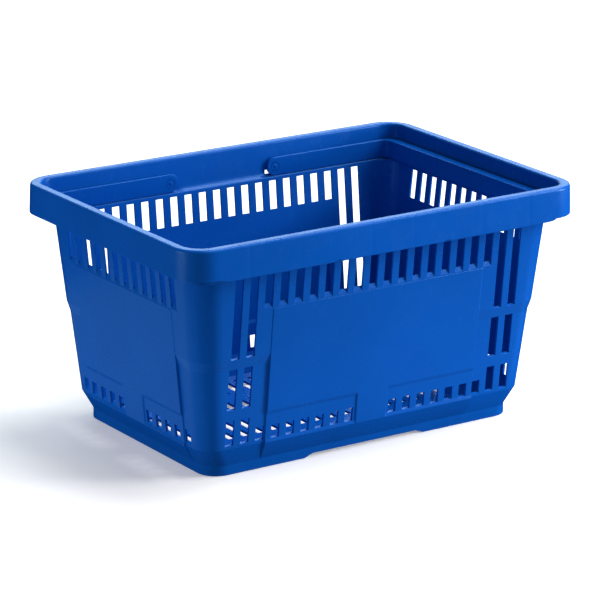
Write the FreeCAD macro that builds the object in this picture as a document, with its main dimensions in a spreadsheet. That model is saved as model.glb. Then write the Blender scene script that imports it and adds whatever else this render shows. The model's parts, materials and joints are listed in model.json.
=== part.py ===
import FreeCAD, Part
import math
import os
from Sketcher import Constraint

# Hand shopping basket: one injection-moulded shell with slotted walls and an open lattice floor,
# a hollow turned-down rim, and two bail handles that fold down inside the rim on snap-in pivot pins.
# Origin: centre of the base on the floor plane. X runs along the long side, +Z is up. Millimetres.

doc = FreeCAD.newDocument("shopping_basket")

DIMENSIONS = {
    # rim
    "rim_length": 434.0,
    "rim_width": 302.0,
    "total_height": 228.0,
    "band_height": 30.5,
    "band_draft": 0.9,
    "rim_corner": 29.5,
    "rim_top_width": 10.5,
    "mouth_draft": 0.1,
    "skin": 2.0,
    "rim_outer_round": 2.8,
    "rim_inner_round": 2.5,
    "end_relief": 2.0,
    "end_relief_start": 42.0,
    "end_relief_run": 11.0,
    "rib_thickness": 1.6,
    "rib_recess": 4.0,
    # walls
    "wall": 2.0,
    "top_inset_x": 18.25,
    "top_inset_y": 16.45,
    "taper": 0.101,
    "top_corner": 27.0,
    "low_corner": 22.0,
    "step_corner": 24.0,
    "ledge_height": 195.0,
    # nesting step in the corners
    "step_low": 105.0,
    "step_high": 114.0,
    "step_depth": 2.0,
    # base
    "base_inset_x": 46.0,
    "base_inset_y": 41.8,
    "foot_corner": 20.0,
    "foot_height": 9.5,
    "chamfer_top": 27.0,
    "foot_relief": 3.3,
    "foot_relief_half": 58.0,
    "foot_relief_run": 9.0,
    "foot_wall": 2.6,
    "floor_top": 8.0,
    "floor_thickness": 2.5,
    # flat side panels
    "panel_half_x": 116.5,
    "panel_half_y": 84.5,
    "panel_middle_half": 17.0,
    "pocket_top": 54.0,
    # slots
    "slot_pitch": 16.2,
    "slot_width": 8.6,
    "slot_top": 191.0,
    "short_sill": 162.0,
    "long_sill": 114.5,
    "middle_top": 104.5,
    "middle_sill": 65.0,
    "low_top": 54.5,
    "low_sill": 30.0,
    "row_top": 43.0,
    # floor slots
    "floor_row_middle": 46.0,
    "floor_row_start": 64.0,
    "floor_row_end": 97.0,
    # handles
    "pivot_x": 60.0,
    "pivot_z": 204.5,
    "handle_height": 18.0,
    "handle_gap": 0.9,
    "arm_thickness": 3.0,
    "grip_width": 10.0,
    "grip_wall": 2.0,
    "grip_inner_corner": 8.0,
    "grip_hollow_half": 108.0,
    # pivot pins
    "pin_diameter": 6.0,
    "running_clearance": 0.05,
    "pin_head_diameter": 9.0,
    "pin_head_thickness": 1.3,
    "pin_head_gap": 0.3,
    "pin_recess_gap": 0.35,
    "pin_pip_diameter": 3.6,
    "pin_pip_height": 0.7,
    "pin_barb_diameter": 7.4,
    "pin_tip_diameter": 4.4,
    "pin_barb_length": 2.4,
    "window_half": 9.5,
    "window_low": 196.6,
    "window_high": 201.0,
}

RIM_RIBS_X = (23.0, 100.0, 154.0)
RIM_RIBS_Y = (29.0, 88.0)
SHORT_COLUMNS_LONG_SIDE = 8
LONG_COLUMNS_LONG_SIDE = 2
COLUMNS_SHORT_SIDE = 6
FLOOR_COLUMNS = 9
GRIP_RIBS = 5

sheet = doc.addObject("Spreadsheet::Sheet", "dims")
for row, (alias, value) in enumerate(DIMENSIONS.items(), start=1):
    sheet.set("A%d" % row, alias)
    sheet.set("B%d" % row, str(value))
    sheet.setAlias("B%d" % row, alias)
doc.recompute()


def bind(obj, **expressions):
    """Bind properties of an object to expressions; double underscores stand for dots."""
    for name, expression in expressions.items():
        obj.setExpression(name.replace("__", "."), expression)


def box(name, x, y, z, length, width, height):
    """A box from its low corner and its sizes, all as expressions."""
    solid = doc.addObject("Part::Box", name)
    bind(solid, Length=length, Width=width, Height=height)
    bind(solid, Placement__Base__x=x, Placement__Base__y=y, Placement__Base__z=z)
    return solid


def centred_box(name, half_x, half_y, low_z, high_z):
    """A box centred on the Z axis between two heights."""
    return box(name, "-(%s)" % half_x, "-(%s)" % half_y, low_z,
               "2 * (%s)" % half_x, "2 * (%s)" % half_y, "(%s) - (%s)" % (high_z, low_z))


def fuse(name, parts):
    result = doc.addObject("Part::MultiFuse", name)
    result.Shapes = parts
    return result


def common(name, parts):
    result = doc.addObject("Part::MultiCommon", name)
    result.Shapes = parts
    return result


def cut(name, base, tool):
    result = doc.addObject("Part::Cut", name)
    result.Base = base
    result.Tool = tool
    return result


def group(name, parts):
    """Separate cutters kept together without fusing them."""
    result = doc.addObject("Part::Compound", name)
    result.Links = parts
    return result


def rounded_rectangle(name, half_x, half_y, radius, height):
    """A fully constrained rounded rectangle centred on the Z axis, at a height."""
    sketch = doc.addObject("Sketcher::SketchObject", name)
    start_x, start_y, start_r = 100.0, 80.0, 10.0
    corners = [(1, -1), (1, 1), (-1, 1), (-1, -1)]
    centres = [(sx * (start_x - start_r), sy * (start_y - start_r)) for sx, sy in corners]
    quarter = math.pi / 2
    z_axis = FreeCAD.Vector(0, 0, 1)
    ends = []
    for index, (cx, cy) in enumerate(centres):
        circle = Part.Circle(FreeCAD.Vector(cx, cy, 0), z_axis, start_r)
        arc = Part.ArcOfCircle(circle, (index - 1) * quarter, index * quarter)
        ends.append((arc.StartPoint, arc.EndPoint))
        sketch.addGeometry(arc, False)
    for index in range(4):
        line = Part.LineSegment(ends[index][1], ends[(index + 1) % 4][0])
        sketch.addGeometry(line, False)
    for index in range(4):
        sketch.addConstraint(Constraint("Tangent", index, 2, 4 + index, 1))
        sketch.addConstraint(Constraint("Tangent", 4 + index, 2, (index + 1) % 4, 1))
    for line, kind in ((4, "Vertical"), (5, "Horizontal"), (6, "Vertical"), (7, "Horizontal")):
        sketch.addConstraint(Constraint(kind, line))
    for index in range(1, 4):
        sketch.addConstraint(Constraint("Equal", 0, index))
    radius_id = sketch.addConstraint(Constraint("Radius", 0, start_r))
    sides = [
        ("right", Constraint("DistanceX", -1, 1, 4, 1, start_x), half_x),
        ("back", Constraint("DistanceY", -1, 1, 5, 1, start_y), half_y),
        ("left", Constraint("DistanceX", 6, 1, -1, 1, start_x), half_x),
        ("front", Constraint("DistanceY", 7, 1, -1, 1, start_y), half_y),
    ]
    sketch.renameConstraint(radius_id, "corner")
    sketch.setExpression("Constraints.corner", radius)
    for label, rule, expression in sides:
        index = sketch.addConstraint(rule)
        sketch.renameConstraint(index, label)
        sketch.setExpression("Constraints." + label, expression)
    sketch.setExpression("Placement.Base.z", height)
    return sketch


def ruled_loft(name, sections):
    """A solid through rounded-rectangle sections, straight between them."""
    loft = doc.addObject("Part::Loft", name)
    loft.Sections = sections
    loft.Solid = True
    loft.Ruled = True
    return loft


def prism(name, half_x, half_y, radius, low_z, high_z):
    """An upright prism on a rounded rectangle."""
    sketch = rounded_rectangle(name + "_outline", half_x, half_y, radius, low_z)
    solid = doc.addObject("Part::Extrusion", name)
    solid.Base = sketch
    solid.Dir = FreeCAD.Vector(0, 0, 1)
    solid.DirMode = "Custom"
    solid.Solid = True
    bind(solid, LengthFwd="(%s) - (%s)" % (high_z, low_z))
    return solid


def half(axis):
    return "dims.rim_length / 2" if axis == "x" else "dims.rim_width / 2"


def wall_half(axis, height, inward):
    """Half size of the tapered wall at a height, moved inward by a distance."""
    below_band = "dims.total_height - dims.band_height - (%s)" % height
    return "%s - dims.top_inset_%s - dims.taper * (%s) - (%s)" % (half(axis), axis, below_band, inward)


def wall_section(name, height, inward, corner):
    return rounded_rectangle(name, wall_half("x", height, inward), wall_half("y", height, inward),
                             "%s - (%s)" % (corner, inward), height)


def shell_form(name, inward, top, bottom_sections):
    """The basket's tapered form, moved inward: the outside at 0, the cavity at the wall thickness."""
    stepped = "%s + dims.step_depth" % inward
    sections = bottom_sections + [
        wall_section(name + "_lower", "dims.chamfer_top", stepped, "dims.low_corner"),
        wall_section(name + "_step_low", "dims.step_low", stepped, "dims.step_corner"),
        wall_section(name + "_step_high", "dims.step_high", inward, "dims.step_corner"),
        wall_section(name + "_top", top, inward, "dims.top_corner"),
    ]
    core = ruled_loft(name + "_core", sections)
    full = ruled_loft(name + "_full", [
        wall_section(name + "_full_low", "dims.chamfer_top", inward, "dims.low_corner"),
        wall_section(name + "_full_high", "dims.step_high + 1", inward, "dims.step_corner"),
    ])
    wide = "dims.rim_length"
    low = "dims.chamfer_top + (%s)" % inward
    high = "dims.step_high + 1"
    pocket = "dims.pocket_top + (%s)" % inward
    bands = [
        centred_box(name + "_long_panel", "dims.panel_half_x - (%s)" % inward, wide, pocket, high),
        centred_box(name + "_short_panel", wide, "dims.panel_half_y - (%s)" % inward, pocket, high),
        centred_box(name + "_long_middle", "dims.panel_middle_half - (%s)" % inward, wide, low, high),
        centred_box(name + "_short_middle", wide, "dims.panel_middle_half - (%s)" % inward, low, high),
    ]
    panels = common(name + "_panels", [full, fuse(name + "_panel_bands", bands)])
    return fuse(name + "_form", [core, panels])


def slot_column(name, axis, position, low, high):
    """One slot cut through both facing walls at once."""
    low_side = "%s - dims.slot_width / 2" % position
    size = "(%s) - (%s)" % (high, low)
    if axis == "x":
        return box(name, low_side, "-dims.rim_width", low, "dims.slot_width", "2 * dims.rim_width", size)
    return box(name, "-dims.rim_length", low_side, low, "2 * dims.rim_length", "dims.slot_width", size)


def column_place(index, sign):
    return "%d * (%d + 0.5) * dims.slot_pitch" % (sign, index)


def wall_slots():
    """Every slot of the four walls: tall end columns, the upper row and the row near the base."""
    slots = []
    upper = ("dims.short_sill", "dims.slot_top")
    lower = ("dims.low_sill", "dims.row_top")
    tall = (("dims.long_sill", "dims.slot_top"), ("dims.middle_sill", "dims.middle_top"),
            ("dims.low_sill", "dims.low_top"))
    last = SHORT_COLUMNS_LONG_SIDE + LONG_COLUMNS_LONG_SIDE
    for sign, side in ((-1, "left"), (1, "right")):
        for index in range(last):
            rows = [upper] + ([lower] if index >= 1 else [])
            if index >= SHORT_COLUMNS_LONG_SIDE:
                rows = tall
            for number, (low, high) in enumerate(rows):
                name = "long_slot_%s_%d_%d" % (side, index, number)
                slots.append(slot_column(name, "x", column_place(index, sign), low, high))
    for sign, side in ((-1, "front"), (1, "back")):
        for index in range(COLUMNS_SHORT_SIDE):
            rows = [upper] + ([lower] if index >= 1 else [])
            for number, (low, high) in enumerate(rows):
                name = "short_slot_%s_%d_%d" % (side, index, number)
                slots.append(slot_column(name, "y", column_place(index, sign), low, high))
    return slots


def floor_slots():
    """Open lattice floor: three rows of slots, in line with the wall columns."""
    slots = []
    low = "dims.floor_top - 2 * dims.floor_thickness"
    height = "3 * dims.floor_thickness"
    rows = (("-dims.floor_row_middle", "2 * dims.floor_row_middle"),
            ("dims.floor_row_start", "dims.floor_row_end - dims.floor_row_start"),
            ("-dims.floor_row_end", "dims.floor_row_end - dims.floor_row_start"))
    for sign, side in ((-1, "left"), (1, "right")):
        for index in range(FLOOR_COLUMNS):
            for number, (start, length) in enumerate(rows):
                name = "floor_slot_%s_%d_%d" % (side, index, number)
                low_side = "%s - dims.slot_width / 2" % column_place(index, sign)
                slots.append(box(name, low_side, start, low, "dims.slot_width", length, height))
    return slots


def rounded_top(name, base, pick_edges):
    """Round chosen edges of a solid; pick_edges gives (edge number, radius) pairs."""
    doc.recompute()
    fillet = doc.addObject("Part::Fillet", name)
    fillet.Base = base
    fillet.Edges = [(number, radius, radius) for number, radius in pick_edges(base.Shape)]
    return fillet


def rim_edges(shape):
    """The outer and inner edge loops of the rim's top face."""
    height = sheet.total_height
    mouth = sheet.rim_length / 2 - sheet.band_draft - sheet.rim_top_width
    mouth_width = sheet.rim_width / 2 - sheet.band_draft - sheet.rim_top_width
    picked = []
    for number, edge in enumerate(shape.Edges, start=1):
        bounds = edge.BoundBox
        if abs(bounds.ZMin - height) > 0.01 or abs(bounds.ZMax - height) > 0.01:
            continue
        reach_x = max(abs(bounds.XMin), abs(bounds.XMax))
        reach_y = max(abs(bounds.YMin), abs(bounds.YMax))
        inner = reach_x < mouth + 0.1 and reach_y < mouth_width + 0.1
        picked.append((number, sheet.rim_inner_round if inner else sheet.rim_outer_round))
    return picked


def turn_about_x(degrees):
    return FreeCAD.Placement(FreeCAD.Vector(), FreeCAD.Rotation(FreeCAD.Vector(1, 0, 0), degrees))


def lay_on_pivot(solid, start_y, side_x, side_y):
    """Lay an upright solid along a pivot axis, from a distance outward from the long axis."""
    solid.Placement = turn_about_x(-90 * side_y)
    bind(solid, Placement__Base__x="%d * dims.pivot_x" % side_x,
         Placement__Base__y="%d * (%s)" % (side_y, start_y),
         Placement__Base__z="dims.pivot_z")


def pivot_cylinder(name, radius, start_y, length, side_x, side_y):
    """A cylinder about a pivot axis."""
    solid = doc.addObject("Part::Cylinder", name)
    bind(solid, Radius=radius, Height=length)
    lay_on_pivot(solid, start_y, side_x, side_y)
    return solid


BAND_LOW = "dims.total_height - dims.band_height"
ARM_LOW = "dims.pivot_z - dims.handle_height / 2"
ARM_HIGH = "dims.pivot_z + dims.handle_height / 2"
HOLE_RADIUS = "dims.pin_diameter / 2 + dims.running_clearance"
SIDES = ((-1, -1, "front_left"), (1, -1, "front_right"), (-1, 1, "back_left"), (1, 1, "back_right"))


def mouth_inset(height, outward):
    """How far the drafted mouth lies inside the rim's outer edge at a height."""
    return ("dims.band_draft + dims.rim_top_width + dims.mouth_draft * (dims.total_height - (%s)) - (%s)"
            % (height, outward))


def mouth_half(axis, height, outward="0"):
    return "%s - (%s)" % (half(axis), mouth_inset(height, outward))


def mouth_section(name, height, outward):
    return rounded_rectangle(name, mouth_half("x", height, outward), mouth_half("y", height, outward),
                             "dims.rim_corner - (%s)" % mouth_inset(height, outward), height)


def mouth_form(name, outward, low, high):
    """The drafted mouth between two heights, moved outward by a distance."""
    return ruled_loft(name, [mouth_section(name + "_low", low, outward),
                             mouth_section(name + "_high", high, outward)])


def make_rim():
    """The turned-down rim: a hollow band around the mouth, open below."""
    block = ruled_loft("rim_block", [
        rounded_rectangle("rim_low", half("x"), half("y"), "dims.rim_corner", BAND_LOW),
        rounded_rectangle("rim_high", half("x") + " - dims.band_draft", half("y") + " - dims.band_draft",
                          "dims.rim_corner - dims.band_draft", "dims.total_height"),
    ])
    mouth = mouth_form("rim_mouth", "0", BAND_LOW + " - 1", "dims.total_height + 1")
    frame = rounded_top("rim_frame", cut("rim_ring", block, mouth), rim_edges)
    collar = mouth_form("rim_collar", "dims.skin", "dims.ledge_height - dims.skin",
                        "dims.total_height - dims.rim_outer_round")
    return [frame, collar]


def rim_channel():
    """The hollow inside the rim, left solid where cross ribs join its two skins."""
    high = "dims.total_height - dims.skin"
    low = "dims.ledge_height - 2 * dims.skin"
    inset = " - dims.skin - dims.band_draft / 2"
    outer = prism("channel_outer", half("x") + inset, half("y") + inset,
                  "dims.rim_corner" + inset, low, high)
    inner = mouth_form("channel_inner", "dims.skin", low + " - 1", high + " + 1")
    ring = cut("channel_ring", outer, inner)
    ribs = []
    rib_low = BAND_LOW + " + dims.rib_recess"
    for sign, side in ((-1, "low"), (1, "high")):
        for number, place in enumerate(RIM_RIBS_X):
            start = "%s - dims.rib_thickness / 2" % (sign * place)
            ribs.append(box("rim_rib_x_%s_%d" % (side, number), start, "-dims.rim_width", rib_low,
                            "dims.rib_thickness", "2 * dims.rim_width", "dims.band_height"))
        for number, place in enumerate(RIM_RIBS_Y):
            start = "%s - dims.rib_thickness / 2" % (sign * place)
            ribs.append(box("rim_rib_y_%s_%d" % (side, number), "-dims.rim_length", start, rib_low,
                            "2 * dims.rim_length", "dims.rib_thickness", "dims.band_height"))
    return cut("rim_channel", ring, group("rim_ribs", ribs))


def end_relief():
    """The band's lower edge is a little higher along both short sides and around the corners."""
    cutters = []
    for side, turn in (("left", 180), ("right", 0)):
        wedge = doc.addObject("Part::Wedge", "end_relief_" + side)
        about_z = FreeCAD.Rotation(FreeCAD.Vector(0, 0, 1), turn)
        wedge.Placement = FreeCAD.Placement(FreeCAD.Vector(), about_z.multiply(turn_about_x(90).Rotation))
        start = half("x") + " - dims.end_relief_start"
        bind(wedge, Xmin=start, Xmax="dims.rim_length", X2min=start + " + dims.end_relief_run",
             X2max="dims.rim_length", Ymin="0", Ymax="dims.end_relief",
             Zmin="-dims.rim_width", Zmax="dims.rim_width", Z2min="-dims.rim_width",
             Z2max="dims.rim_width", Placement__Base__z=BAND_LOW)
        cutters.append(wedge)
    keep = mouth_form("end_relief_keep", "dims.skin", BAND_LOW + " - 1", BAND_LOW + " + dims.end_relief + 1")
    return cut("end_reliefs", group("end_relief_wedges", cutters), keep)


def foot_relief():
    """The long sides of the foot are lifted between their ends, with sloped shoulders."""
    wedge = doc.addObject("Part::Wedge", "foot_relief")
    wedge.Placement = turn_about_x(90)
    bind(wedge, Xmin="-dims.foot_relief_half - dims.foot_relief_run",
         Xmax="dims.foot_relief_half + dims.foot_relief_run",
         X2min="-dims.foot_relief_half", X2max="dims.foot_relief_half",
         Ymin="0", Ymax="dims.foot_relief",
         Zmin="-dims.rim_width", Zmax="dims.rim_width", Z2min="-dims.rim_width", Z2max="dims.rim_width")
    return wedge


def make_basket_body():
    foot_half = [half(axis) + " - dims.base_inset_" + axis for axis in ("x", "y")]
    outer_foot = [
        rounded_rectangle("foot_low", foot_half[0], foot_half[1], "dims.foot_corner", "0"),
        rounded_rectangle("foot_high", foot_half[0], foot_half[1], "dims.foot_corner", "dims.foot_height"),
    ]
    inner_foot = [
        rounded_rectangle("cavity_floor", foot_half[0] + " - dims.foot_wall",
                          foot_half[1] + " - dims.foot_wall",
                          "dims.foot_corner - dims.foot_wall", "dims.floor_top"),
    ]
    outer = shell_form("outside", "0", BAND_LOW, outer_foot)
    inner = shell_form("cavity", "dims.wall", BAND_LOW, inner_foot)
    mouth = mouth_form("mouth", "0", "dims.ledge_height", "dims.total_height + 1")
    under = prism("underside", foot_half[0] + " - dims.wall", foot_half[1] + " - dims.wall",
                  "dims.foot_corner - dims.wall", "-1", "dims.floor_top - dims.floor_thickness")
    solid = fuse("basket_solid", [outer] + make_rim())
    hollow = cut("basket_hollow", solid, fuse("basket_cavity", [inner, mouth]))
    cutters = [rim_channel(), end_relief(), under, foot_relief()]
    for side_x, side_y, label in SIDES:
        cutters.append(pivot_cylinder("pin_hole_" + label, HOLE_RADIUS, mouth_half("y", "dims.pivot_z", "-1"),
                                      "dims.skin + 2", side_x, side_y))
        window_x = "%d * dims.pivot_x - dims.window_half" % side_x
        window_middle = mouth_half("y", "dims.window_low", "dims.skin / 2")
        window_y = "%d * (%s) - dims.skin" % (side_y, window_middle)
        cutters.append(box("pivot_window_" + label, window_x, window_y, "dims.window_low",
                           "2 * dims.window_half", "2 * dims.skin", "dims.window_high - dims.window_low"))
    opened = cut("basket_opened", hollow, group("basket_cutters", cutters))
    return cut("basket_body", opened, group("slots", wall_slots() + floor_slots()))


HANDLE_X = mouth_half("x", ARM_LOW, "-dims.handle_gap")
HANDLE_Y = mouth_half("y", ARM_LOW, "-dims.handle_gap")
HANDLE_CORNER = "dims.rim_corner - (%s)" % mouth_inset(ARM_LOW, "-dims.handle_gap")
ARM_INNER = HANDLE_Y + " - dims.arm_thickness"
RECESS_DEPTH = "dims.pin_head_thickness + dims.pin_head_gap"


def make_handle(label, side_x):
    """A bail handle: two flat arms along the long sides joined by a hollow ribbed grip."""
    outer = prism(label + "_outside", HANDLE_X, HANDLE_Y, HANDLE_CORNER, ARM_LOW, ARM_HIGH)
    inner = prism(label + "_inside", HANDLE_X + " - dims.grip_width", ARM_INNER,
                  "dims.grip_inner_corner", ARM_LOW + " - 1", ARM_HIGH + " + 1")
    ring = cut(label + "_ring", outer, inner)
    start = "dims.pivot_x" if side_x > 0 else "-dims.rim_length / 2"
    bar = box(label + "_length", start, "-dims.rim_width / 2", ARM_LOW, "dims.rim_length / 2 - dims.pivot_x",
              "dims.rim_width", "dims.handle_height")
    end = pivot_cylinder(label + "_end", "dims.handle_height / 2", "-dims.rim_width / 2",
                         "dims.rim_width", side_x, 1)
    blank = common(label + "_blank", [ring, fuse(label + "_side_view", [bar, end])])
    cutters = grip_hollow(label, side_x)
    for side_y, end_name in ((-1, "front"), (1, "back")):
        cutters.append(pivot_cylinder("%s_hole_%s" % (label, end_name), HOLE_RADIUS,
                                      ARM_INNER + " - 1", "dims.arm_thickness + 2", side_x, side_y))
        cutters.append(pivot_cylinder("%s_recess_%s" % (label, end_name),
                                      "dims.pin_head_diameter / 2 + dims.pin_recess_gap",
                                      ARM_INNER + " - 1", RECESS_DEPTH + " + 1", side_x, side_y))
    return cut(label, blank, group(label + "_cutters", cutters))


def grip_hollow(label, side_x):
    """Pockets moulded into the underside of the grip, with ribs left between them."""
    pockets = []
    depth = "dims.handle_height - dims.grip_wall"
    width = "dims.grip_width - 2 * dims.grip_wall"
    far_face = HANDLE_X + " - dims.grip_wall"
    x = "%s - (%s)" % (far_face, width) if side_x > 0 else "-(%s)" % far_face
    pitch = "2 * dims.grip_hollow_half / %d" % (GRIP_RIBS + 1)
    for number in range(GRIP_RIBS + 1):
        y = "%d * %s - dims.grip_hollow_half + dims.rib_thickness / 2" % (number, pitch)
        pockets.append(box("%s_pocket_%d" % (label, number), x, y, ARM_LOW,
                           width, pitch + " - dims.rib_thickness", depth))
    return pockets


def make_pin(label, side_x, side_y):
    """A snap-in pivot pin: a flush head with a small pip, a plain shank and a barb behind the rim."""
    barb_start = mouth_half("y", "dims.pivot_z + dims.pin_barb_diameter / 2", "dims.skin")
    head = pivot_cylinder(label + "_head", "dims.pin_head_diameter / 2", ARM_INNER,
                          "dims.pin_head_thickness", side_x, side_y)
    shank = pivot_cylinder(label + "_shank", "dims.pin_diameter / 2", ARM_INNER,
                           "%s + 1 - (%s)" % (barb_start, ARM_INNER), side_x, side_y)
    barb = doc.addObject("Part::Cone", label + "_barb")
    bind(barb, Radius1="dims.pin_barb_diameter / 2", Radius2="dims.pin_tip_diameter / 2",
         Height="dims.pin_barb_length")
    lay_on_pivot(barb, barb_start, side_x, side_y)
    pip = doc.addObject("Part::Cone", label + "_pip")
    bind(pip, Radius1="dims.pin_pip_diameter / 3", Radius2="dims.pin_pip_diameter / 2",
         Height="dims.pin_pip_height")
    lay_on_pivot(pip, ARM_INNER + " - dims.pin_pip_height", side_x, side_y)
    return fuse(label, [head, shank, barb, pip])


nodes = [make_basket_body(), make_handle("handle_left", -1), make_handle("handle_right", 1)]
nodes += [make_pin("pivot_pin_" + label, side_x, side_y) for side_x, side_y, label in SIDES]
doc.recompute()

for obj in doc.Objects:
    if "Invalid" in obj.State or "Error" in obj.State:
        raise RuntimeError("%s failed: %s" % (obj.Name, obj.State))
for node in nodes:
    node.Label = node.Name
    shape = node.Shape
    if shape.isNull() or not shape.isValid() or len(shape.Solids) != 1:
        raise RuntimeError("%s is not one valid solid" % node.Label)

os.makedirs("parts", exist_ok=True)
for node in nodes:
    node.Shape.exportStep("parts/%s.step" % node.Label)
    bounds = node.Shape.BoundBox
    print("%s volume %.1f cm3 x %.2f..%.2f y %.2f..%.2f z %.2f..%.2f" % (
        node.Label, node.Shape.Volume / 1000, bounds.XMin, bounds.XMax,
        bounds.YMin, bounds.YMax, bounds.ZMin, bounds.ZMax))
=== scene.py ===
"""The looks of a hand shopping basket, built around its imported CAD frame.

Shapes are worked out in millimetres in the frame's own axes: the origin is the centre of the base,
X runs along the long side and Z is up. to_object() turns them into metres.
"""

import json
import math
from collections import namedtuple

import bmesh
import bpy
from mathutils import Matrix, Vector


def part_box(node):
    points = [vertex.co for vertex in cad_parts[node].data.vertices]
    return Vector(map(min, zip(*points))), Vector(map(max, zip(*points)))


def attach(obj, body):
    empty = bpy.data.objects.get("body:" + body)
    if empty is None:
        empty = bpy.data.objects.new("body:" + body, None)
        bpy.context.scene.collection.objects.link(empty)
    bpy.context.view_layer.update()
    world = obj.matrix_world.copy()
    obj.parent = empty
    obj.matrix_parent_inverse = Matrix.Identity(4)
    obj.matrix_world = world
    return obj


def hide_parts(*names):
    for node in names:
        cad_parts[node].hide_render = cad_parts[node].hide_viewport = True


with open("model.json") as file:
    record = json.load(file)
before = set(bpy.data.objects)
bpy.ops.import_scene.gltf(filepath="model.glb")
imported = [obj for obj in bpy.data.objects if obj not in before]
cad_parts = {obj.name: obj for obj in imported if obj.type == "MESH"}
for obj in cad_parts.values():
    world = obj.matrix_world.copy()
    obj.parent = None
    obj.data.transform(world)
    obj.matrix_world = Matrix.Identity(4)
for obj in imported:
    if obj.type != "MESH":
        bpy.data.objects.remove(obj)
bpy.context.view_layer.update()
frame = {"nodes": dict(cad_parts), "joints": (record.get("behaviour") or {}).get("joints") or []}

MM = 0.001
HALF_X, HALF_Y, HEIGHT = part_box("basket_body")[1] / MM

# Rim
BAND_HEIGHT = 30.5
BAND_LOW = HEIGHT - BAND_HEIGHT
BAND_DRAFT = 0.9
RIM_CORNER = 29.5
RIM_WIDTH = 10.5
MOUTH = BAND_DRAFT + RIM_WIDTH
MOUTH_DRAFT = 0.1
SKIN = 2.0
CHANNEL = SKIN + BAND_DRAFT / 2
OUTER_ROUND = 2.8
INNER_ROUND = 2.5
OUTER_CUTS, INNER_CUTS = 5, 4
END_RELIEF, RELIEF_RUN = 2.0, 0.156
CORNER_STUB = 12.0
CORNER_STEPS = 20
NOTCH = 1.3
SINK, SINK_MARGIN = 0.1, 1.0
RIB_LOW = 201.5
CHANNEL_TOP = HEIGHT - SKIN

# Walls
WALL = 2.0
TOP_INSET_X, TOP_INSET_Y = 18.25, 16.45
TAPER = 0.101
CORNERS = ((27.0, 22.0), (105.0, 24.0), (114.5, 24.0), (200.0, 27.0))
STEP_LOW, STEP_HIGH, STEP_DEPTH = 104.5, 114.5, 2.0
POCKET_LOW, POCKET_START, POCKET_TOP, POCKET_END, POCKET_DEPTH = 27.0, 30.0, 54.5, 58.0, 1.2
LEDGE = 195.0
LEDGE_UNDER = 193.0
LEDGE_FILLET = 1.4
LEDGE_CUTS = 3
LEDGE_LIFT = (1.8, 1.5, 1.2, 1.0)
BEAD = 1.2

# Base
FOOT_X, FOOT_Y, FOOT_CORNER, FOOT_HEIGHT = HALF_X - 46.0, HALF_Y - 41.8, 20.0, 9.5
FOOT_RELIEF, FOOT_RELIEF_START, FOOT_RELIEF_END = 3.3, 58.0, 67.0
FLOOR_TOP, FLOOR_UNDER, FLOOR_EDGE, FLOOR_INSET = 8.0, 5.5, 97.0, 2.6

# Slots
PITCH, SLOT = 16.2, 8.6
PANEL_EDGE, PANEL_TOP, PANEL_RAISE = 157.2, 157.8, 0.45
SILL_FOOT, SILL_TOP = 158.6, 162.0
LOWER_TOP, MIDDLE_LOW, UPPER_TOP = 43.0, 65.0, 191.0
ROWS = (POCKET_LOW, POCKET_START, LOWER_TOP, POCKET_TOP, POCKET_END, MIDDLE_LOW,
        STEP_LOW, STEP_HIGH, PANEL_EDGE, PANEL_TOP, SILL_FOOT, SILL_TOP, UPPER_TOP)
SILLS = (POCKET_START, MIDDLE_LOW, STEP_HIGH, SILL_TOP)
SILL_SLOPE = 1.2
LOWER = (POCKET_START, LOWER_TOP)
TALL = ((STEP_HIGH, UPPER_TOP), (MIDDLE_LOW, STEP_LOW), (POCKET_START, POCKET_TOP))
SHORT_COLUMNS_LONG_SIDE, COLUMNS_LONG_SIDE, COLUMNS_SHORT_SIDE, FLOOR_COLUMNS = 8, 10, 6, 9
# Beyond these places columns crowd together where the wall narrows toward the base
FREE_LONG = (COLUMNS_LONG_SIDE - 1.5) * PITCH + SLOT / 2
FREE_SHORT = (COLUMNS_SHORT_SIDE - 0.5) * PITCH - SLOT / 2
CROWD_MARGIN = 0.75

# Where the surface changes along each side, counted from the side's middle
MIDDLE = (16.5, 17.5)
PANEL_LONG, PANEL_SHORT = (115.9, 116.6), (83.6, 84.3)
RIBS_LONG = ((22.2, 23.8), (99.4, 101.0), (153.2, 154.8))
RIBS_SHORT = ((28.6, 30.2), (87.2, 88.8))
WINDOW = (50.5, 70.3)
WINDOW_LOW, WINDOW_HIGH = 197.0, 201.0
NOTCH_LINES = (57.0, 58.0, 62.5, 63.5)
SHOULDER = 45.0
FLOOR_ROWS = (46.0, 64.0)
BEVEL = 0.3
CRISP_ANGLE = math.radians(9)

# Lines this close count as one, and comparisons allow this much slack
NEAR, SLACK = 0.3, 0.1

Ring = namedtuple("Ring", "half_x half_y corner z stub pocket recess raised part")


def slot_edges(count):
    """The two edges of each slot column on one half of a side."""
    return [(index + 0.5) * PITCH + sign * SLOT / 2 for index in range(count) for sign in (-1, 1)]


def rib_lines(ribs):
    """A rib's own edges and the edges of the faint sink mark over it."""
    lines = []
    for low, high in ribs:
        lines += [low - SINK_MARGIN, low, high, high + SINK_MARGIN]
    return lines


def both_halves(lines):
    """Lines of one half mirrored about the side's middle, without near duplicates."""
    kept = []
    for line in sorted(lines):
        if not kept or line - kept[-1] > NEAR:
            kept.append(line)
    return [-line for line in reversed(kept)] + kept


LONG_LINES = both_halves(slot_edges(COLUMNS_LONG_SIDE) + rib_lines(RIBS_LONG)
                         + list(MIDDLE + PANEL_LONG + WINDOW + NOTCH_LINES) + [FOOT_RELIEF_END])
SHORT_LINES = both_halves(slot_edges(COLUMNS_SHORT_SIDE) + rib_lines(RIBS_SHORT)
                          + list(MIDDLE + PANEL_SHORT + FLOOR_ROWS))
CORNER_FRACTIONS = [step / CORNER_STEPS for step in range(CORNER_STEPS + 1)]


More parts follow.
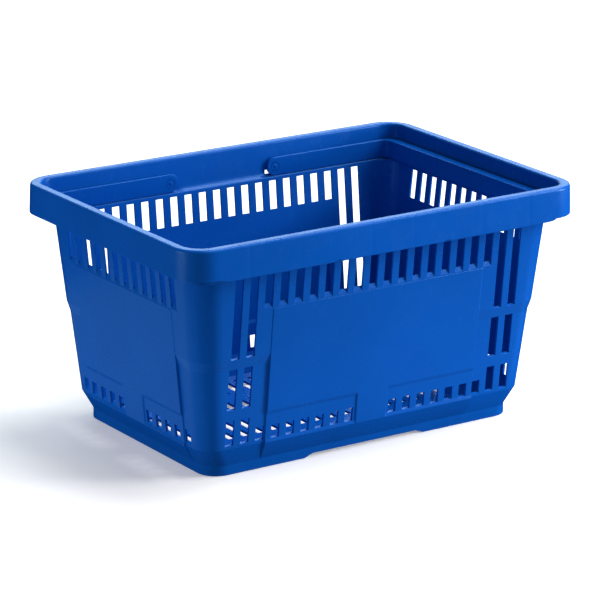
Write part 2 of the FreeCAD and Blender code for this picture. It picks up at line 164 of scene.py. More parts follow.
def make_columns():
    """Every upright line around the basket, counter-clockwise from the front side's left end."""
    columns = []
    for quarter in range(4):
        lines = LONG_LINES if quarter % 2 == 0 else SHORT_LINES
        columns += [(quarter, "side", line) for line in lines]
        columns += [(quarter, "corner", fraction) for fraction in CORNER_FRACTIONS]
    return columns


COLUMNS = make_columns()


def ramp(value, low, high):
    """0 up to low, 1 from high, straight between."""
    return min(1.0, max(0.0, (value - low) / (high - low)))


def wall_corner(z):
    """The wall's corner radius at a height."""
    for (low, start), (high, end) in zip(CORNERS, CORNERS[1:]):
        if z <= high:
            return start + (end - start) * ramp(z, low, high)
    return CORNERS[-1][1]


def wall_ring(z, inward=0.0, shown_z=None, part="wall"):
    """A ring of the tapered wall, moved inward; shown_z is its height if not the same."""
    lean = TAPER * (BAND_LOW - z) + inward
    pocket = ramp(z, POCKET_LOW, POCKET_START) * (1 - ramp(z, POCKET_TOP, POCKET_END))
    raised = 1 - ramp(z, PANEL_EDGE, PANEL_TOP) if inward == 0.0 else 0.0
    return Ring(HALF_X - TOP_INSET_X - lean, HALF_Y - TOP_INSET_Y - lean, wall_corner(z) - inward,
                z if shown_z is None else shown_z, 0.0, POCKET_DEPTH * pocket,
                STEP_DEPTH * (1 - ramp(z, STEP_LOW, STEP_HIGH)), PANEL_RAISE * raised, part)


def rim_ring(inward, z, part="rim"):
    """A ring concentric with the rim's outer edge."""
    return Ring(HALF_X - inward, HALF_Y - inward, RIM_CORNER - inward, z, CORNER_STUB,
                0.0, 0.0, 0.0, part)


def foot_ring(inward, z, part="foot"):
    """A ring of the foot, moved inward."""
    return Ring(FOOT_X - inward, FOOT_Y - inward, FOOT_CORNER - inward, z, 0.0,
                0.0, 0.0, 0.0, part)


def mouth_ring(outward, z, part="rim"):
    """A ring of the drafted mouth, moved outward."""
    return rim_ring(MOUTH + MOUTH_DRAFT * (HEIGHT - z) - outward, z, part)


def make_rings():
    """The basket's section, from under the floor out and up, over the rim and down inside.

    Returns the rings, the places of named ones, and the ones that shape a round by themselves."""
    rings, place, smooth = [], {}, set()

    def add(ring, name=None, is_round=False):
        if name is not None:
            place[name] = len(rings)
        if is_round:
            smooth.add(len(rings))
        rings.append(ring)

    add(foot_ring(WALL, FLOOR_UNDER), "under")
    add(foot_ring(WALL, 0.0, "foot_edge"))
    add(foot_ring(0.0, 0.0, "foot_edge"))
    add(foot_ring(0.0, FOOT_HEIGHT))
    for z in ROWS:
        add(wall_ring(z), ("outer", z))
    add(wall_ring(LEDGE_UNDER))
    add(mouth_ring(SKIN, LEDGE_UNDER))
    add(mouth_ring(SKIN, WINDOW_LOW, "window_low"), "collar_window_low")
    add(mouth_ring(SKIN, WINDOW_HIGH), "collar_window_high")
    add(mouth_ring(SKIN, RIB_LOW), "collar_rib")
    add(mouth_ring(SKIN, CHANNEL_TOP), "collar_top")
    add(rim_ring(CHANNEL, CHANNEL_TOP), "channel_top")
    add(rim_ring(CHANNEL, RIB_LOW), "channel_rib")
    add(rim_ring(CHANNEL, BAND_LOW, "band_edge"))
    add(rim_ring(0.0, BAND_LOW, "band_edge_outer"))
    shoulder = HEIGHT - OUTER_ROUND
    add(rim_ring(BAND_DRAFT * (shoulder - BAND_LOW) / BAND_HEIGHT, shoulder, "band"), None, True)
    for step in range(1, OUTER_CUTS + 1):
        turn = math.radians(90 * step / OUTER_CUTS)
        add(rim_ring(BAND_DRAFT + OUTER_ROUND * (1 - math.cos(turn)),
                     shoulder + OUTER_ROUND * math.sin(turn)), None, True)
    for step in range(INNER_CUTS + 1):
        turn = math.radians(90 * step / INNER_CUTS)
        add(mouth_ring(INNER_ROUND * (1 - math.sin(turn)),
                       HEIGHT - INNER_ROUND * (1 - math.cos(turn))), None, True)
    add(mouth_ring(0.0, WINDOW_HIGH), "mouth_window_high")
    add(mouth_ring(0.0, WINDOW_LOW, "window_low"), "mouth_window_low")
    for step in range(LEDGE_CUTS + 1):
        turn = math.radians(90 * step / LEDGE_CUTS)
        add(mouth_ring(-LEDGE_FILLET * (1 - math.cos(turn)),
                       LEDGE + LEDGE_FILLET * (1 - math.sin(turn)), "ledge%d" % step), None, True)
    for step in range(LEDGE_CUTS + 1):
        turn = math.radians(90 * step / LEDGE_CUTS)
        add(wall_ring(LEDGE, WALL - BEAD * (1 - math.sin(turn)),
                      LEDGE - BEAD * (1 - math.cos(turn)), "bead"), None, True)
    for z in reversed(ROWS):
        add(wall_ring(z, WALL, z + (SILL_SLOPE if z in SILLS else 0.0)), ("inner", z))
    add(foot_ring(FLOOR_INSET, FLOOR_TOP), "floor")
    return rings, place, smooth


RINGS, PLACE, SMOOTH = make_rings()


def crowd(line, room, quarter):
    """A column keeps its place, but the outermost ones crowd where the side is shorter."""
    last, free = (LONG_LINES[-1], FREE_LONG) if quarter % 2 == 0 else (SHORT_LINES[-1], FREE_SHORT)
    if room >= last + CROWD_MARGIN or abs(line) <= free:
        return line
    squeezed = free + (abs(line) - free) * (room - CROWD_MARGIN - free) / (last - free)
    return math.copysign(squeezed, line)


def corner_point(half_along, half_out, radius, stub, fraction):
    """A point on a corner's path: a short straight stub, a quarter circle and another stub."""
    arc = radius * math.pi / 2
    travelled = fraction * (arc + 2 * stub)
    if travelled < stub:
        return half_along - radius - stub + travelled, -half_out
    if travelled > stub + arc:
        return half_along, -half_out + radius + travelled - stub - arc
    turn = (travelled - stub) / radius
    return half_along - radius * (1 - math.sin(turn)), -half_out + radius * (1 - math.cos(turn))


def in_rib(line, ribs):
    """Whether a line lies in one of the cross ribs under the rim, its edges included."""
    return any(low - SLACK <= abs(line) <= high + SLACK for low, high in ribs)


def lift(ring, column):
    """How far a ring rises at a column."""
    quarter, kind, value = column
    long_side = quarter % 2 == 0 and kind == "side"
    reach = abs(value)
    if ring.part == "foot_edge" and long_side:
        return FOOT_RELIEF * (1 - ramp(reach, FOOT_RELIEF_START, FOOT_RELIEF_END))
    if ring.part.startswith("band_edge"):
        if kind == "corner":
            share = ramp(value if quarter % 2 == 0 else 1 - value, 0.0, RELIEF_RUN)
            return END_RELIEF * share * share * (3 - 2 * share)
        if not long_side:
            return END_RELIEF
        if NOTCH_LINES[1] <= reach <= NOTCH_LINES[2]:
            return NOTCH
    if long_side and reach <= SHOULDER:
        if ring.part == "window_low":
            return LEDGE_LIFT[0]
        if ring.part.startswith("ledge"):
            return LEDGE_LIFT[int(ring.part[-1])]
    return 0.0


def inset(ring, column):
    """How far a ring moves inward at a column: wall pockets, the corner step and sink marks."""
    quarter, kind, value = column
    long_side = quarter % 2 == 0
    if ring.part in ("band", "band_edge_outer"):
        ribs = RIBS_LONG if long_side else RIBS_SHORT
        return SINK if kind == "side" and in_rib(value, ribs) else 0.0
    panel = PANEL_LONG if long_side else PANEL_SHORT
    if kind == "corner" or abs(value) > panel[0] + SLACK:
        return ring.recess
    if abs(value) > MIDDLE[0] + SLACK:
        return ring.pocket - ring.raised
    return -ring.raised


def ring_point(ring, column):
    """Where a ring crosses a column."""
    quarter, kind, value = column
    moved = inset(ring, column)
    halves = (ring.half_x - moved, ring.half_y - moved)
    half_along, half_out = halves if quarter % 2 == 0 else halves[::-1]
    corner = ring.corner - moved
    if kind == "side":
        x, y = crowd(value, half_along - corner - ring.stub, quarter), -half_out
    else:
        x, y = corner_point(half_along, half_out, corner, ring.stub, value)
    for _ in range(quarter):
        x, y = -y, x
    return Vector((x, y, ring.z + lift(ring, column)))


def slot_at(position, count):
    """The number of the slot column that a place on a side falls in, or None."""
    index = int(abs(position) / PITCH)
    inside = abs(abs(position) - (index + 0.5) * PITCH) < SLOT / 2
    return index if inside and index < count else None


def is_slot(quarter, position, z, low_sill=SILL_TOP):
    """Whether a place on a side's wall is cut by a slot; the upper row starts at low_sill."""
    long_side = quarter % 2 == 0
    index = slot_at(position, COLUMNS_LONG_SIDE if long_side else COLUMNS_SHORT_SIDE)
    if index is None:
        return False
    if long_side and index >= SHORT_COLUMNS_LONG_SIDE:
        rows = TALL
    else:
        upper = (low_sill, UPPER_TOP)
        rows = (upper, LOWER) if index >= 1 else (upper,)
    return any(low < z < high for low, high in rows)


def make_body():
    """The basket body as one closed mesh."""
    mesh = bmesh.new()
    grid = [[mesh.verts.new(ring_point(ring, column)) for column in COLUMNS] for ring in RINGS]
    count = len(COLUMNS)

    def face(*corners):
        mesh.faces.new(corners)

    def middle(column):
        """The quarter and the place of the strip to the right of a column, or None in a corner."""
        start, end = COLUMNS[column], COLUMNS[(column + 1) % count]
        if start[1] != "side" or end[1] != "side" or start[0] != end[0]:
            return None
        return start[0], (start[2] + end[2]) / 2

    row_pairs = list(zip(ROWS, ROWS[1:]))
    wall_rows = {PLACE[("outer", low)]: (low + high) / 2 for low, high in row_pairs}
    wall_rows.update({PLACE[("inner", high)]: (low + high) / 2 for low, high in row_pairs})
    sill_row = PLACE[("outer", SILL_FOOT)]
    window_rows = {PLACE["collar_window_low"], PLACE["mouth_window_high"]}
    rib_rows = {PLACE["collar_rib"], PLACE["collar_top"], PLACE["channel_top"]}

    def is_open(ring, column):
        """Whether the patch above a ring and to the right of a column is left out."""
        where = middle(column % count)
        if where is None:
            return False
        quarter, place = where
        if ring in wall_rows:
            low_sill = SILL_FOOT if ring == sill_row else SILL_TOP
            return is_slot(quarter, place, wall_rows[ring], low_sill)
        if ring in window_rows:
            return quarter % 2 == 0 and WINDOW[0] < abs(place) < WINDOW[1]
        if ring in rib_rows:
            return in_rib(place, RIBS_LONG if quarter % 2 == 0 else RIBS_SHORT)
        return False

    def is_sill(column):
        """Whether a column is open outside but still closed inside, just below the upper slots."""
        return is_open(sill_row, column) and not is_open(PLACE[("inner", SILL_TOP)], column)

    for ring in range(len(RINGS) - 1):
        for column in range(count):
            if not is_open(ring, column):
                after = (column + 1) % count
                face(grid[ring][column], grid[ring][after],
                     grid[ring + 1][after], grid[ring + 1][column])

    def is_open_below(ring, column):
        return ring in wall_rows and is_open(ring - 1, column)

    def is_open_above(ring, column):
        return ring in wall_rows and is_open(ring + 1, column)

    def tunnel(outer_low, inner_low, outer_high, inner_high):
        """The four inside faces of an opening that is cut between two pairs of rings."""
        for column in range(count):
            if not is_open(outer_low, column) or (outer_low == sill_row and is_sill(column)):
                continue
            after = (column + 1) % count
            for edge, beside in ((column, column - 1), (after, column + 1)):
                if not is_open(outer_low, beside):
                    face(grid[outer_low][edge], grid[inner_low][edge],
                         grid[inner_high][edge], grid[outer_high][edge])
            if not is_open_below(outer_low, column):
                face(grid[outer_low][column], grid[outer_low][after],
                     grid[inner_low][after], grid[inner_low][column])
            if not is_open_above(outer_low, column):
                face(grid[outer_high][column], grid[outer_high][after],
                     grid[inner_high][after], grid[inner_high][column])

    def slope_sill(column):
        """A sill that slopes down and outward, with the two triangles beside it."""
        foot, top, inner = (grid[PLACE[key]] for key in
                            (("outer", SILL_FOOT), ("outer", SILL_TOP), ("inner", SILL_TOP)))
        after = (column + 1) % count
        face(foot[column], foot[after], inner[after], inner[column])
        for edge, beside in ((column, column - 1), (after, column + 1)):
            if not is_open(sill_row, beside):
                face(foot[edge], inner[edge], top[edge])

    for column in range(count):
        if is_sill(column):
            slope_sill(column)
    for low, high in row_pairs:
        tunnel(PLACE[("outer", low)], PLACE[("inner", low)],
               PLACE[("outer", high)], PLACE[("inner", high)])
    tunnel(PLACE["collar_window_low"], PLACE["mouth_window_low"],
           PLACE["collar_window_high"], PLACE["mouth_window_high"])
    for column in range(count):
        if not is_open(PLACE["collar_rib"], column):
            continue
        after = (column + 1) % count
        face(grid[PLACE["collar_rib"]][column], grid[PLACE["collar_rib"]][after],
             grid[PLACE["channel_rib"]][after], grid[PLACE["channel_rib"]][column])
        for edge in (column, after):
            face(grid[PLACE["collar_rib"]][edge], grid[PLACE["collar_top"]][edge],
                 grid[PLACE["channel_top"]][edge], grid[PLACE["channel_rib"]][edge])

    add_floor(mesh, grid)
    bmesh.ops.recalc_face_normals(mesh, faces=mesh.faces)
    ring_of = {vert: index for index, row in enumerate(grid) for vert in row}
    round_edges(mesh, ring_of)
    return mesh


def add_floor(mesh, grid):
    """The lattice floor: a plate with three rows of slots, joined to the foot all around."""
    plates = []
    for name, z in (("floor", FLOOR_TOP), ("under", FLOOR_UNDER)):
        ring = PLACE[name]
        edge = {column: vert for column, vert in zip(COLUMNS, grid[ring])}
        across = [edge[(0, "side", line)].co.x for line in LONG_LINES]
        along = [edge[(1, "side", line)].co.y for line in SHORT_LINES]
        along = [-FLOOR_EDGE] + along + [FLOOR_EDGE]
        plate = [[mesh.verts.new((x, y, z)) for x in across] for y in along]
        plates.append(plate)
        for row in range(len(along) - 1):
            for column in range(len(across) - 1):
                if not in_floor_slot(across, along, column, row):
                    mesh.faces.new((plate[row][column], plate[row][column + 1],
                                    plate[row + 1][column + 1], plate[row + 1][column]))
        # the strips that join the plate to the front and back, then to the right and left
        last = len(LONG_LINES) - 1
        for index in range(last):
            for quarter, row, step in ((0, 0, 1), (2, -1, -1)):
                a, b = LONG_LINES[index], LONG_LINES[index + 1]
                mesh.faces.new((plate[row][index if step > 0 else last - index],
                                plate[row][index + 1 if step > 0 else last - index - 1],
                                edge[(quarter, "side", b)], edge[(quarter, "side", a)]))
        last = len(SHORT_LINES) - 1
        for index in range(last):
            for quarter, column, step in ((1, -1, 1), (3, 0, -1)):
                a, b = SHORT_LINES[index], SHORT_LINES[index + 1]
                low = index + 1 if step > 0 else last - index + 1
                mesh.faces.new((plate[low][column], plate[low + step][column],
                                edge[(quarter, "side", b)], edge[(quarter, "side", a)]))
        # each corner's quarter, its row and column on the plate, and the row beside it
        corners = ((0, 0, -1, 1), (1, -1, -1, -2), (2, -1, 0, -2), (3, 0, 0, 1))
        for quarter, row, column, beside in corners:
            lines = LONG_LINES if quarter % 2 == 0 else SHORT_LINES
            next_lines = SHORT_LINES if quarter % 2 == 0 else LONG_LINES
            pivot = plate[row][column]
            path = [edge[(quarter, "side", lines[-1])]]
            path += [edge[(quarter, "corner", fraction)] for fraction in CORNER_FRACTIONS]
            path += [edge[((quarter + 1) % 4, "side", next_lines[0])]]
            for a, b in zip(path, path[1:]):
                mesh.faces.new((pivot, a, b))
            # the strip between the plate's last row and its neighbour meets the short side
            neighbour = plate[beside][column]
            short_end = path[-1] if quarter % 2 == 0 else path[0]
            mesh.faces.new((pivot, short_end, neighbour))
    top, under = plates
    across = [vert.co.x for vert in top[0]]
    along = [row[0].co.y for row in top]
    for row in range(len(along) - 1):
        for column in range(len(across) - 1):
            if not in_floor_slot(across, along, column, row):
                continue
            # a slot's four sides: two corners, and the cell beyond them
            around = (((row, column), (row, column + 1), (row - 1, column)),
                      ((row + 1, column), (row + 1, column + 1), (row + 1, column)),
                      ((row, column), (row + 1, column), (row, column - 1)),
                      ((row, column + 1), (row + 1, column + 1), (row, column + 1)))
            for (r0, c0), (r1, c1), (r2, c2) in around:
                if not in_floor_slot(across, along, c2, r2):
                    mesh.faces.new((top[r0][c0], top[r1][c1], under[r1][c1], under[r0][c0]))


def in_floor_slot(across, along, column, row):
    """Whether a cell of the floor grid is open."""
    if not (0 <= column < len(across) - 1 and 0 <= row < len(along) - 1):
        return False
    x = (across[column] + across[column + 1]) / 2
    y = abs(along[row] + along[row + 1]) / 2
    return slot_at(x, FLOOR_COLUMNS) is not None and not FLOOR_ROWS[0] < y < FLOOR_ROWS[1]


def round_edges(mesh, ring_of):
    """Every crisp edge gets the small radius that a mould leaves."""
    mesh.edges.ensure_lookup_table()
    crisp = []
    for edge in mesh.edges:
        if len(edge.link_faces) != 2 or edge.calc_face_angle(0.0) < CRISP_ANGLE:
            continue
        first, second = (ring_of.get(vert) for vert in edge.verts)
        if first is not None and first == second and first in SMOOTH:
            continue
        crisp.append(edge)
    bmesh.ops.bevel(mesh, geom=crisp, offset=BEVEL, offset_type="OFFSET", segments=2, profile=0.5,
                    affect="EDGES", clamp_overlap=True, loop_slide=True)


def to_object(mesh, name, material):
    """A mesh in millimetres becomes a smooth-shaded object in metres."""
    bmesh.ops.scale(mesh, vec=(MM, MM, MM), verts=mesh.verts)
    data = bpy.data.meshes.new(name)
    mesh.to_mesh(data)
    mesh.free()
    data.shade_smooth()
    thing = bpy.data.objects.new(name, data)
    bpy.context.scene.collection.objects.link(thing)
    data.materials.append(material)
    weighted = thing.modifiers.new("weighted_normals", "WEIGHTED_NORMAL")
    weighted.mode = "FACE_AREA"
    weighted.weight = 90
    weighted.keep_sharp = True
    return thing


# Handles
# The round end has TURNS steps about the pivot, and the arm joins it ARM_TURNS steps to each side
TURNS, ARM_TURNS = 24, 3
TURN_DEGREES = 360 / TURNS
ARM_ANGLES = [math.radians(TURN_DEGREES * step) for step in range(-ARM_TURNS, ARM_TURNS + 1)]
PIVOT = {joint["child"]: Vector(joint["pos_m"]) / MM for joint in frame["joints"]}
ARM, GRIP, GRIP_WALL, GRIP_CORNER = 3.0, 10.0, 2.0, 8.0
HANDLE_GAP = 0.9
PIN_HOLE, PIN_RECESS, RECESS_DEPTH = 3.05, 4.85, 1.6
RECESS_SHARE = 1 - RECESS_DEPTH / ARM
ARM_CROWN = 0.25
HANDLE_CRISP_ANGLE = math.radians(25)
BORE_ROUND, HANDLE_ROUND = 0.15, 0.6
ARM_CUTS, CORNER_CUTS = 12, 8
GRIP_POCKET_HALF, GRIP_CELLS, RIB = 108.0, 6, 1.6


def make_handle(name):
    """A bail handle: two flat arms with round ends, joined by a grip that is hollow below."""
    low, high = (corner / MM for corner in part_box(name))
    pivot = PIVOT[name]
    side = 1.0 if pivot.x > 0 else -1.0
    far_x, far_y = max(abs(low.x), abs(high.x)), high.y
    half_height = (high.z - low.z) / 2
    start_x = abs(pivot.x) + half_height
    far_corner = RIM_CORNER - MOUTH - MOUTH_DRAFT * (HEIGHT - low.z) - HANDLE_GAP
    mesh = bmesh.new()
    heights = [half_height * math.tan(angle) for angle in ARM_ANGLES]

    # each station is a point on the outer face and the one across from it on the inner face
    stations = [((start_x, -far_y), (start_x, -far_y + ARM))]
    arm_end = far_x - GRIP - GRIP_CORNER
    for step in range(1, ARM_CUTS + 1):
        x = start_x + (arm_end - start_x) * step / ARM_CUTS
        stations.append(((x, -far_y), (x, -far_y + ARM)))
    for step in range(1, CORNER_CUTS + 1):
        turn = math.radians(90 * step / CORNER_CUTS)
        outer = (far_x - far_corner * (1 - math.sin(turn)),
                 -far_y + far_corner * (1 - math.cos(turn)))
        inner = (far_x - GRIP - GRIP_CORNER * (1 - math.sin(turn)),
                 -far_y + ARM + GRIP_CORNER * (1 - math.cos(turn)))
        stations.append((outer, inner))
    cell = 2 * GRIP_POCKET_HALF / GRIP_CELLS
    pocket_after = []
    for number in range(GRIP_CELLS):
        begin = -GRIP_POCKET_HALF + cell * number + RIB / 2
        pocket_after.append(len(stations))
        stations += [((far_x, begin), (far_x - GRIP, begin)),
                     ((far_x, begin + cell - RIB), (far_x - GRIP, begin + cell - RIB))]
    first_arm = stations[:1 + ARM_CUTS + CORNER_CUTS]
    mirrored = [((ox, -oy), (ix, -iy)) for (ox, oy), (ix, iy) in first_arm]
    stations += reversed(mirrored)

    def station_ring(outer, inner):
        """Section points: up the outer face, over the top, down the inner face and back."""
        width = math.dist(outer, inner)
        wall = min(GRIP_WALL, width / 3)
        shares = (wall / width, 1 - wall / width)
        points = [(0.0, z) for z in heights]
        points += [(share, half_height) for share in shares]
        points += [(1.0, z) for z in reversed(heights)]
        points += [(share, -half_height) for share in reversed(shares)]
        ring = []
        for share, z in points:
            crown = ARM_CROWN * (abs(z) / half_height) / width if share == 1.0 else 0.0
            at = share - crown
            ring.append(mesh.verts.new((outer[0] + (inner[0] - outer[0]) * at,
                                        outer[1] + (inner[1] - outer[1]) * at, z)))
        return ring

    rings = [station_ring(outer, inner) for outer, inner in stations]
    size = len(rings[0])
    under = size - 2
    for index, (ring, after) in enumerate(zip(rings, rings[1:])):
        for point in range(size):
            follow = (point + 1) % size
            if index in pocket_after and point == under:
                corners = (ring[point], ring[follow], after[follow], after[point])
                rise = Vector((0, 0, 2 * half_height - GRIP_WALL))
                roof = [mesh.verts.new(vert.co + rise) for vert in corners]
                mesh.faces.new(roof)
                for a, b in ((0, 1), (1, 2), (2, 3), (3, 0)):
                    mesh.faces.new((corners[a], corners[b], roof[b], roof[a]))
            else:
                mesh.faces.new((ring[point], ring[follow], after[follow], after[point]))

    bore = set()
    for ring, out in ((rings[0], -1.0), (rings[-1], 1.0)):
        bore |= add_handle_end(mesh, ring, out * far_y, -out * ARM, abs(pivot.x),
                               half_height, heights)

    bmesh.ops.recalc_face_normals(mesh, faces=mesh.faces)
    crisp = [edge for edge in mesh.edges
             if len(edge.link_faces) == 2 and edge.calc_face_angle(0.0) > HANDLE_CRISP_ANGLE]
    for offset, in_bore in ((BORE_ROUND, True), (HANDLE_ROUND, False)):
        edges = [edge for edge in crisp if edge.is_valid and (set(edge.verts) <= bore) == in_bore]
        bmesh.ops.bevel(mesh, geom=edges, offset=offset, offset_type="OFFSET", segments=3,
                        profile=0.5, affect="EDGES", clamp_overlap=True)
    bmesh.ops.translate(mesh, verts=mesh.verts, vec=(0, 0, pivot.z))
    if side < 0:
        bmesh.ops.scale(mesh, verts=mesh.verts, vec=(-1, 1, 1))
        bmesh.ops.reverse_faces(mesh, faces=mesh.faces)
    return mesh


def add_handle_end(mesh, ring, outer_y, across, pivot_x, radius, heights):
    """The round end of an arm, joined to the arm's first section, with its stepped pin hole.

    Returns the hole's corners."""
    shares = (0.0, 1 / 3, 2 / 3, 1.0)
    bores = ((0.0, PIN_HOLE), (RECESS_SHARE, PIN_HOLE),
             (RECESS_SHARE, PIN_RECESS), (1.0, PIN_RECESS))

    def edge_point(turn):
        """Where the outline is, seen from the pivot: half a circle, closed by a square end."""
        x, z = math.cos(turn), math.sin(turn)
        if x <= 1e-9:
            return pivot_x + radius * x, radius * z
        stretch = radius / max(abs(x), abs(z))
        return pivot_x + stretch * x, stretch * z

    count = len(heights)
    outline, hole = [], []
    for step in range(TURNS):
        turn = math.radians(TURN_DEGREES * step)
        x, z = edge_point(turn)
        rim = []
        from_arm = step if step <= TURNS // 2 else step - TURNS
        if abs(from_arm) <= ARM_TURNS:
            row = from_arm + ARM_TURNS
            rim = [ring[row], None, None, ring[2 * count + 1 - row]]
            if row == count - 1:
                rim[1], rim[2] = ring[count], ring[count + 1]
            if row == 0:
                rim[1], rim[2] = ring[-1], ring[-2]
        else:
            crown = ARM_CROWN * abs(z) / radius
            for part in shares:
                depth = across * part - (math.copysign(crown, across) if part == 1.0 else 0.0)
                rim.append(mesh.verts.new((x, outer_y + depth, z)))
        outline.append(rim)
        hole.append([mesh.verts.new((pivot_x + bore * math.cos(turn), outer_y + across * part,
                                     bore * math.sin(turn))) for part, bore in bores])
    last_layer = len(shares) - 1
    for index in range(TURNS):
        after = (index + 1) % TURNS
        for layer in (0, last_layer):
            mesh.faces.new((outline[index][layer], outline[after][layer],
                            hole[after][layer], hole[index][layer]))
        for layer in range(last_layer):
            mesh.faces.new((hole[index][layer], hole[after][layer],
                            hole[after][layer + 1], hole[index][layer + 1]))
            if None not in outline[index] and None not in outline[after]:
                mesh.faces.new((outline[index][layer], outline[after][layer],
                                outline[after][layer + 1], outline[index][layer + 1]))
    return {vert for level in hole for vert in level}


# Materials

def moulded_plastic(name, base):
    """Semi-gloss polypropylene: faintly cloudy, smudged and finely grained from the mould."""
    material = bpy.data.materials.new(name)
    material.use_nodes = True
    nodes, links = material.node_tree.nodes, material.node_tree.links
    shader = nodes["Principled BSDF"]
    shader.inputs["IOR"].default_value = 1.49
    shader.inputs["Specular IOR Level"].default_value = 0.24
    shader.inputs["Specular Tint"].default_value = (0.3, 0.7, 1.0, 1.0)
    place = nodes.new("ShaderNodeTexCoord")

    def noise(scale, detail):
        """A noise texture that stays with the piece."""
        texture = nodes.new("ShaderNodeTexNoise")
        texture.inputs["Scale"].default_value = scale
        texture.inputs["Detail"].default_value = detail
        links.new(place.outputs["Object"], texture.inputs["Vector"])
        return texture.outputs["Fac"]

    tint = nodes.new("ShaderNodeValToRGB")
    for stop, (position, shade) in zip(tint.color_ramp.elements, ((0.3, 0.94), (0.7, 1.06))):
        stop.position = position
        stop.color = [channel * shade for channel in base] + [1.0]
    links.new(noise(9.0, 3.0), tint.inputs["Fac"])
    links.new(tint.outputs["Color"], shader.inputs["Base Color"])

    gloss = nodes.new("ShaderNodeMapRange")
    gloss.inputs["From Min"].default_value = 0.3
    gloss.inputs["From Max"].default_value = 0.7
    gloss.inputs["To Min"].default_value = 0.22
    gloss.inputs["To Max"].default_value = 0.30
    links.new(noise(55.0, 4.0), gloss.inputs["Value"])
    links.new(gloss.outputs["Result"], shader.inputs["Roughness"])

    bump = nodes.new("ShaderNodeBump")
    bump.inputs["Strength"].default_value = 0.12
    bump.inputs["Distance"].default_value = 0.0002
    links.new(noise(1800.0, 2.0), bump.inputs["Height"])
    links.new(bump.outputs["Normal"], shader.inputs["Normal"])
    return material


BLUE = (0.0015, 0.09, 0.465)
basket_plastic = moulded_plastic("basket_plastic", BLUE)
handle_plastic = moulded_plastic("handle_plastic", BLUE)
pin_plastic = moulded_plastic("pin_plastic", BLUE)


# Pieces

body = to_object(make_body(), "basket_shell", basket_plastic)
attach(body, "basket")
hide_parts("basket_body")

for side in ("left", "right"):
    node = "handle_" + side
    bail = to_object(make_handle(node), "bail_" + side, handle_plastic)
    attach(bail, node)
    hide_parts(node)

for node, thing in frame["nodes"].items():
    if node.startswith("pivot_pin"):
        thing.data.materials.clear()
        thing.data.materials.append(pin_plastic)


# Stage, light and camera

def make_floor():
    """A plain pale floor that reaches past the view; its slight glow keeps the shadows light."""
    material = bpy.data.materials.new("floor_paper")
    material.use_nodes = True
    shader = material.node_tree.nodes["Principled BSDF"]
    shader.inputs["Base Color"].default_value = (0.9, 0.9, 0.9, 1.0)
    shader.inputs["Roughness"].default_value = 0.9
    shader.inputs["Emission Color"].default_value = (1.0, 1.0, 1.0, 1.0)
    shader.inputs["Emission Strength"].default_value = 0.3
    data = bpy.data.meshes.new("floor")
    reach, level = 12.0, -0.0002
    data.from_pydata([(-reach, -reach, level), (reach, -reach, level), (reach, reach, level),
                      (-reach, reach, level)], [], [(0, 1, 2, 3)])
    floor = bpy.data.objects.new("floor", data)
    floor.data.materials.append(material)
    bpy.context.scene.collection.objects.link(floor)
    # its bounce comes from floor_glow instead
    floor.visible_diffuse = False
    floor.visible_glossy = False


def soft_light(name, place, size, power, color=(1.0, 1.0, 1.0), aim=(0.0, 0.0, 0.15)):
    """A soft box that faces the basket and stays out of the picture."""
    lamp = bpy.data.lights.new(name, "AREA")
    lamp.shape = "RECTANGLE"
    lamp.size, lamp.size_y = size
    lamp.energy = power
    lamp.color = color
    thing = bpy.data.objects.new(name, lamp)
    thing.location = place
    thing.rotation_euler = (Vector(aim) - Vector(place)).to_track_quat("-Z", "Y").to_euler()
    thing.visible_camera = False
    bpy.context.scene.collection.objects.link(thing)


def floor_glow(name, x, y, size, power):
    """A patch of the pale floor that throws light back up at the walls."""
    soft_light(name, (x, y, 0.004), size, power, (0.35, 0.75, 1.0), (x, y, 1.0))


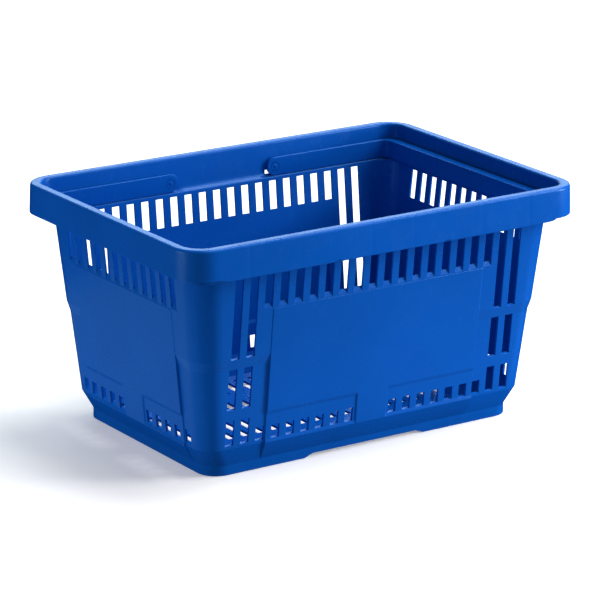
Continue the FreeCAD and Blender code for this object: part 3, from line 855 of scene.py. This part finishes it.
def overhead_light():
    """A wide soft light from above, a little to the right, that keeps the floor white."""
    lamp = bpy.data.lights.new("overhead", "SUN")
    lamp.angle = math.radians(36)
    lamp.energy = 2.5
    thing = bpy.data.objects.new("overhead", lamp)
    thing.rotation_euler = Vector((-0.5, 0.0, -1.0)).to_track_quat("-Z", "Y").to_euler()
    bpy.context.scene.collection.objects.link(thing)


def make_camera():
    """A long lens, a little to the left of the front and above."""
    turn, down, roll = math.radians(34.05), math.radians(17.07), math.radians(0.36)
    distance = 3.27
    aim = Vector((-0.0003, -0.0011, 0.1128))
    forward = Vector((math.sin(turn) * math.cos(down), math.cos(turn) * math.cos(down),
                      -math.sin(down)))
    level = Vector((math.cos(turn), -math.sin(turn), 0.0))
    up = level.cross(forward)
    right = level * math.cos(roll) + up * math.sin(roll)
    up = right.cross(forward)
    camera = bpy.data.cameras.new("camera")
    camera.sensor_width = 36.0
    camera.lens = 208.2
    camera.clip_end = 50.0
    thing = bpy.data.objects.new("camera", camera)
    rotation = Matrix((right, up, -forward)).transposed()
    thing.matrix_world = Matrix.Translation(aim - forward * distance) @ rotation.to_4x4()
    bpy.context.scene.collection.objects.link(thing)
    bpy.context.scene.camera = thing


def make_world():
    """An even pale surround that doesn't show in the gloss."""
    world = bpy.data.worlds.new("world")
    world.use_nodes = True
    background = world.node_tree.nodes["Background"]
    background.inputs["Color"].default_value = (1.0, 1.0, 1.0, 1.0)
    background.inputs["Strength"].default_value = 0.22
    bpy.context.scene.world = world
    world.cycles_visibility.glossy = False


make_floor()
overhead_light()
soft_light("key", (2.3, -1.9, 1.2), (1.2, 1.2), 20)
soft_light("key_near", (1.0, -0.8, 0.85), (0.5, 0.5), 8)
soft_light("fill_right", (1.4, -0.9, 0.3), (0.5, 0.4), 16.5)
soft_light("fill_left", (-1.6, 0.2, 0.13), (0.9, 0.22), 7.5)
soft_light("behind", (1.2, 1.7, 1.1), (2.4, 1.0), 22, (0.6, 0.85, 1.0))
floor_glow("glow_left", -0.355, 0.11, (0.31, 0.55), 0.26)
floor_glow("glow_front", 0.15, -0.295, (0.64, 0.31), 0.34)
make_world()
bpy.context.scene.view_settings.view_transform = "Standard"
make_camera()
